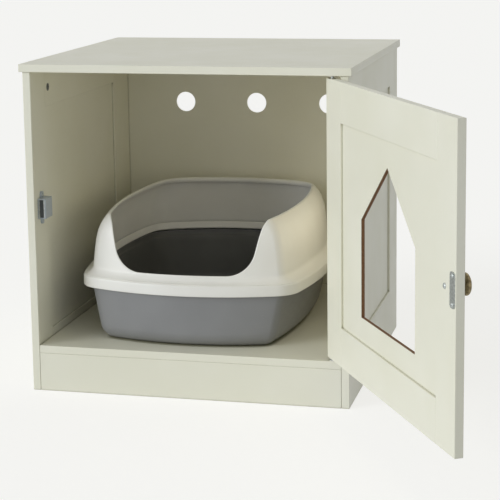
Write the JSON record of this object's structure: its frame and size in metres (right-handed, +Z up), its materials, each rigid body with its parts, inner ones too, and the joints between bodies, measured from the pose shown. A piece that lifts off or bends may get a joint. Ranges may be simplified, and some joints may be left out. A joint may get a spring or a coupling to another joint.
{
  "type": "litter box cabinet",
  "caption": "Free-standing litter box cabinet with a framed side door that has a house-shaped entry, vent holes in the back, and a hooded litter tray inside.",
  "frame": {"origin": "on the floor, at the centre of the width, under the middle of the plinth board", "axes": "+Z up, +X to the right seen from the front, +Y from the front to the back"},
  "size_m": [0.7202, 0.8734, 0.51],
  "materials": {
    "painted_board": "satin painted MDF",
    "zinc_plated_steel": "zinc plated",
    "zinc_die_cast": "die cast zinc, dull",
    "beech_dowel": "bare beech",
    "nylon": "moulded nylon",
    "catch_plastic": "moulded, pale grey",
    "ferrite": "sintered, dark",
    "aged_brass": "aged, satin",
    "grey_polypropylene": "moulded, satin",
    "cream_polypropylene": "moulded, satin"
  },
  "bodies": {
    "cabinet": {"top_board": "painted_board", "bottom_shelf": "painted_board", "plinth_board": "painted_board", "back_panel": "painted_board", "top_cam_bolts": "zinc_plated_steel", "top_cam_nuts": "zinc_die_cast", "shelf_cam_bolts": "zinc_plated_steel", "shelf_cam_nuts": "zinc_die_cast", "carcass_dowels": "beech_dowel", "back_panel_nails": "zinc_plated_steel", "lower_pivot_bush": "nylon", "upper_pivot_bush": "nylon", "catch_housing": "catch_plastic", "catch_magnet": "ferrite", "catch_pole_plates": "zinc_plated_steel", "catch_screws": "zinc_plated_steel", "left_front_stile": "painted_board", "left_rear_stile": "painted_board", "left_bottom_rail": "painted_board", "left_top_rail": "painted_board", "left_side_panel": "painted_board", "right_front_stile": "painted_board", "right_rear_stile": "painted_board", "right_bottom_rail": "painted_board", "right_top_rail": "painted_board", "right_side_panel": "painted_board"},
    "door": {"door_hinge_stile": "painted_board", "door_knob_stile": "painted_board", "door_top_rail": "painted_board", "door_bottom_rail": "painted_board", "door_panel": "painted_board", "lower_hinge_pin": "zinc_plated_steel", "upper_hinge_pin": "zinc_plated_steel", "knob": "aged_brass", "knob_screw": "zinc_plated_steel", "strike_plate": "zinc_plated_steel", "strike_screws": "zinc_plated_steel"},
    "tray": {"litter_tray": "grey_polypropylene"},
    "hood": {"tray_hood": "cream_polypropylene"}
  },
  "joints": [
    {"name": "door_hinge", "type": "hinge", "parent": "cabinet", "child": "door", "pos_m": [0.225, 0, 0.285], "axis": [0, 0, 1], "range_deg": [-120, 8]},
    {"name": "tray_slide", "type": "slide", "parent": "cabinet", "child": "tray", "axis": [0, -1, 0], "range_m": [-0.0095, 0.006]},
    {"name": "hood_lift", "type": "slide", "parent": "tray", "child": "hood", "axis": [0, 0, 1], "range_m": [0, 0.2]}
  ]
}
